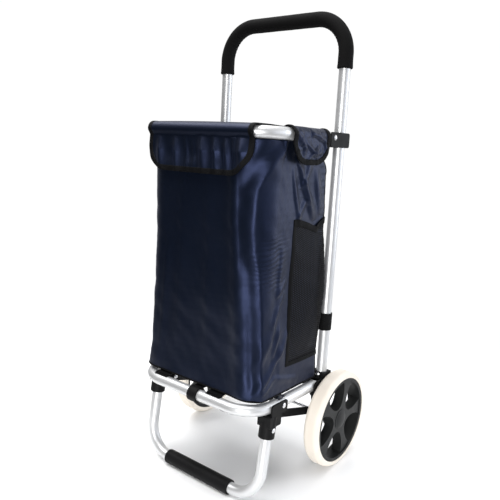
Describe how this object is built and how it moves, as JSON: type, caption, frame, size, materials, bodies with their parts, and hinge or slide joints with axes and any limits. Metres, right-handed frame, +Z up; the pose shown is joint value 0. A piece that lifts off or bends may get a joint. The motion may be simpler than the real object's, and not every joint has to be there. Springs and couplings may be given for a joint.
{
  "type": "folding shopping trolley",
  "caption": "Folding shopping trolley: tubular metal frame with foam grip, large wheels, fold-down foot, tapered fabric bag with flap lid and mesh side pocket.",
  "frame": {"origin": "on the floor under the middle of the whole trolley's box", "axes": "+Z up; front, where the foot and the lid's flap are, towards -Y; +X to the right as seen from the front, along the axle"},
  "size_m": [0.3924, 0.3544, 0.9106],
  "materials": {
    "aluminium_tube": "polished anodised tube",
    "plated_steel": "bright zinc or nickel plate",
    "grip_foam": "matt closed-cell foam",
    "black_plastic": "moulded, satin",
    "wheel_plastic": "moulded, fine grain",
    "bush_nylon": "natural nylon",
    "black_steel": "black powder coat",
    "cream_tyre": "matt moulded foam rubber",
    "navy_nylon": "coated woven nylon with a soft sheen",
    "black_binding": "ribbed binding tape",
    "base_board": "plain board",
    "black_mesh": "open knitted mesh",
    "black_webbing": "woven strap"
  },
  "bodies": {
    "handle_frame": {"handle_tube": "aluminium_tube", "handle_grip": "grip_foam", "rear_bracket_left": "black_plastic", "rear_bracket_right": "black_plastic", "top_bracket_left": "black_plastic", "top_bracket_right": "black_plastic", "handle_rivets": "plated_steel", "base_pivot_pins": "plated_steel", "top_pivot_rivets": "plated_steel", "axle": "plated_steel", "axle_washers": "plated_steel", "bag_shell": "navy_nylon", "bag_floor_board": "base_board", "mesh_pocket": "black_mesh", "handle_strap_left": "black_webbing", "handle_strap_right": "black_webbing"},
    "top_frame": {"top_frame_tube": "aluminium_tube", "top_frame_plugs": "black_plastic", "side_ear_left": "navy_nylon", "side_ear_right": "navy_nylon"},
    "base": {"base_tube": "aluminium_tube", "base_plugs": "black_plastic", "base_cross_strip": "plated_steel", "strip_rivets": "plated_steel", "bag_slats": "black_plastic", "base_hook": "black_plastic"},
    "foot": {"foot_tube": "aluminium_tube", "foot_sleeve": "black_plastic", "elbow_left": "black_plastic", "elbow_right": "black_plastic", "elbow_pins": "plated_steel", "socket_rivets": "plated_steel"},
    "struts": {"strut_left": "black_steel", "strut_right": "black_steel", "strut_pins": "plated_steel"},
    "wheel_left": {"tyre_left": "cream_tyre", "rim_left": "wheel_plastic", "wheel_bush_left": "bush_nylon", "hub_cap_left": "wheel_plastic"},
    "wheel_right": {"tyre_right": "cream_tyre", "rim_right": "wheel_plastic", "wheel_bush_right": "bush_nylon", "hub_cap_right": "wheel_plastic"},
    "lid": {"lid": "navy_nylon"}
  },
  "joints": [
    {"name": "base_fold", "type": "hinge", "parent": "handle_frame", "child": "base", "pos_m": [0, 0.03433, 0.17959], "axis": [-1, 0, 0], "range_deg": [0, 88], "deforming": ["bag_shell", "bag_floor_board", "mesh_pocket", "lid"]},
    {"name": "top_fold", "type": "hinge", "parent": "handle_frame", "child": "top_frame", "pos_m": [0, 0.07219, 0.67516], "axis": [-1, 0, 0], "range_deg": [0, 88]},
    {"name": "foot_fold", "type": "hinge", "parent": "base", "child": "foot", "pos_m": [0, -0.08326, 0.18953], "axis": [-1, 0, 0], "range_deg": [-88, 0]},
    {"name": "strut_fold", "type": "hinge", "parent": "handle_frame", "child": "struts", "pos_m": [0, 0.07718, 0.1], "axis": [-1, 0, 0], "range_deg": [0, 58]},
    {"name": "wheel_left_spin", "type": "hinge", "parent": "handle_frame", "child": "wheel_left", "pos_m": [-0.1792, 0.07718, 0.1], "axis": [1, 0, 0], "continuous": true},
    {"name": "wheel_right_spin", "type": "hinge", "parent": "handle_frame", "child": "wheel_right", "pos_m": [0.1792, 0.07718, 0.1], "axis": [1, 0, 0], "continuous": true},
    {"name": "lid_open", "type": "hinge", "parent": "handle_frame", "child": "lid", "pos_m": [0, 0.05911, 0.68911], "axis": [-1, 0, 0], "range_deg": [0, 100]}
  ],
  "couplings": [
    {"joint": "top_fold", "follows": "base_fold", "ratio": 1},
    {"joint": "foot_fold", "follows": "base_fold", "ratio": -1},
    {"joint": "strut_fold", "follows": "base_fold", "ratio": 0.65}
  ]
}
